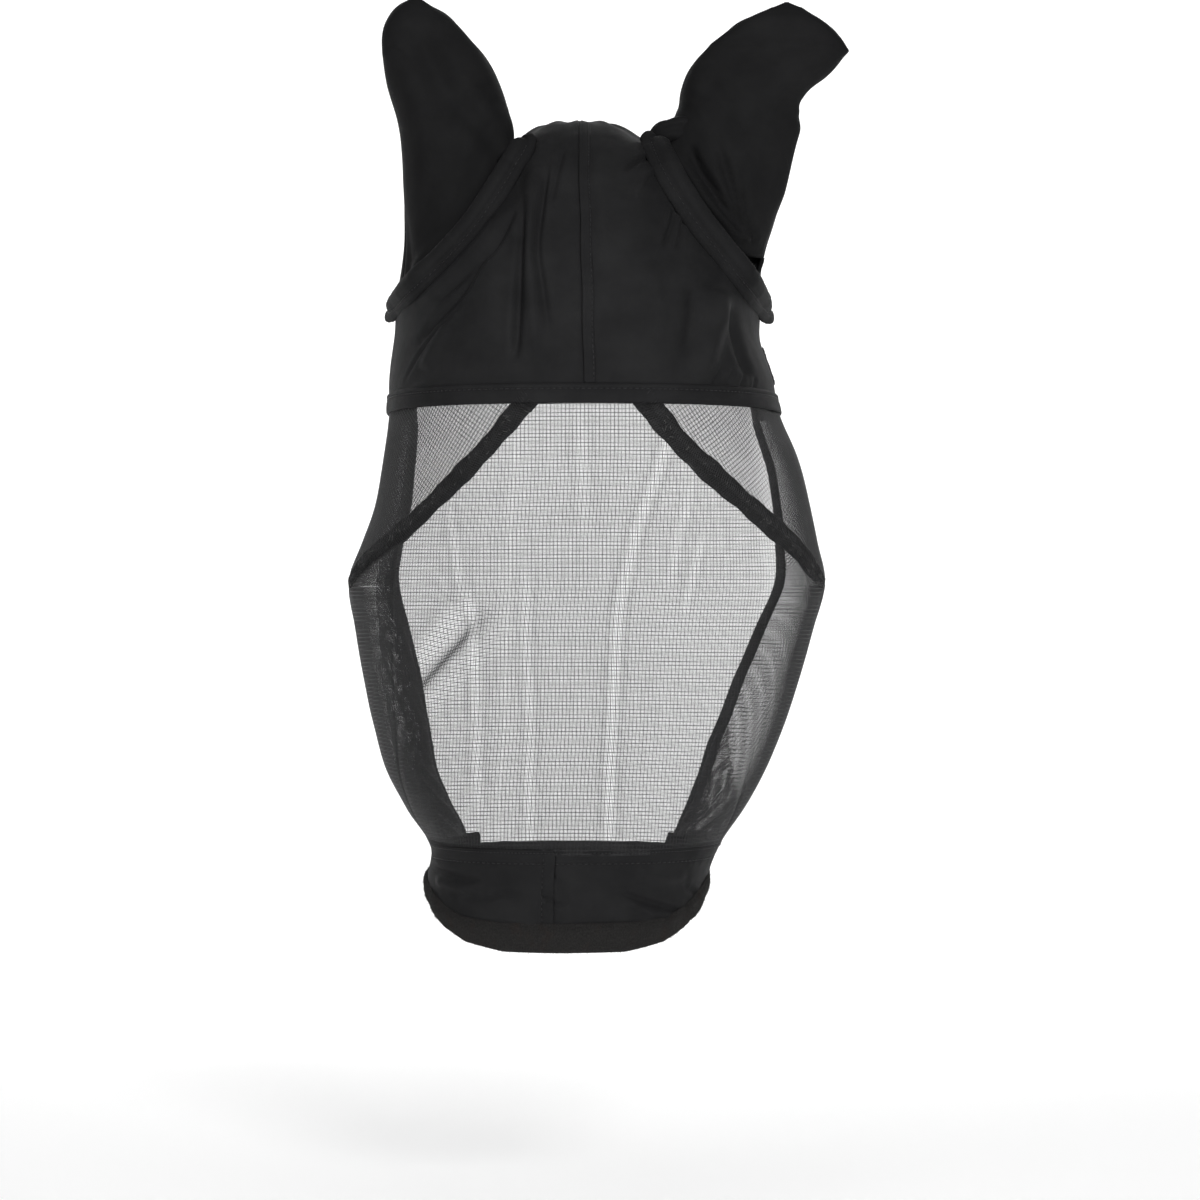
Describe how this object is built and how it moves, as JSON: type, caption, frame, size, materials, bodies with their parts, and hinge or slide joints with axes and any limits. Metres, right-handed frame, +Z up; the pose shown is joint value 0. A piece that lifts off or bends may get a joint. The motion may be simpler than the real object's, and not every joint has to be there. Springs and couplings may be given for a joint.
{
  "type": "fly mask",
  "caption": "Horse fly mask: stretch hood with ear covers, darted net over the face and cheeks, stretch noseband with a soft edge, hook-and-loop straps.",
  "frame": {"origin": "on the centre line in the muzzle opening, at the level of the lowest point of the nose edge", "axes": "+Z up the face to the poll and ears, the face looks along -Y, +X to the viewer's right"},
  "size_m": [0.289, 0.3059, 0.547],
  "materials": {
    "stretch_fabric": "soft satin, fine knit",
    "net": "matt open net",
    "soft_binding": "matt brushed pile",
    "seam_tape": "matt overlocked thread",
    "elastic_tape": "ribbed woven elastic",
    "hook_tape": "moulded hooks",
    "loop_tape": "brushed loop pile"
  },
  "bodies": {
    "mask": {"hood_left": "stretch_fabric", "hood_right": "stretch_fabric", "poll_seam": "seam_tape", "brow_hem": "stretch_fabric", "ear_rim_left": "soft_binding", "ear_rim_right": "soft_binding", "face_net": "net", "side_net_left": "net", "side_net_right": "net", "dart_tape_left": "seam_tape", "dart_tape_right": "seam_tape", "noseband_left": "stretch_fabric", "noseband_right": "stretch_fabric", "noseband_seam": "seam_tape", "noseband_overlock": "seam_tape", "nose_edge_binding": "soft_binding", "jaw_binding_left": "elastic_tape", "jaw_binding_right": "elastic_tape", "neck_binding_left": "elastic_tape", "neck_binding_right": "elastic_tape", "throat_loop_patch": "loop_tape", "chin_loop_patch": "loop_tape"},
    "ear_left": {"ear_cover_front_left": "stretch_fabric", "ear_cover_back_left": "stretch_fabric"},
    "ear_right": {"ear_cover_front_right": "stretch_fabric", "ear_cover_back_right": "stretch_fabric"},
    "throat_strap_body": {"throat_strap": "elastic_tape", "throat_strap_hook_pad": "hook_tape"},
    "chin_strap_body": {"chin_strap": "elastic_tape", "chin_strap_hook_pad": "hook_tape"}
  },
  "joints": [
    {"name": "ear_left_swing", "type": "hinge", "parent": "mask", "child": "ear_left", "pos_m": [-0.07, 0.015, 0.408], "axis": [-0.66, 0, -0.7513], "range_deg": [-15, 30], "stiffness_Nm_per_rad": 0.15},
    {"name": "ear_right_swing", "type": "hinge", "parent": "mask", "child": "ear_right", "pos_m": [0.08, 0.015, 0.408], "axis": [-0.66, 0, 0.7513], "range_deg": [-15, 30], "stiffness_Nm_per_rad": 0.15},
    {"name": "throat_strap_peel", "type": "hinge", "parent": "mask", "child": "throat_strap_body", "pos_m": [-0.1053, 0.1047, 0.337], "axis": [0, 0, 1], "range_deg": [0, 110]},
    {"name": "chin_strap_peel", "type": "hinge", "parent": "mask", "child": "chin_strap_body", "pos_m": [-0.0663, 0.0687, 0.0475], "axis": [0, 0, 1], "range_deg": [0, 110]}
  ]
}
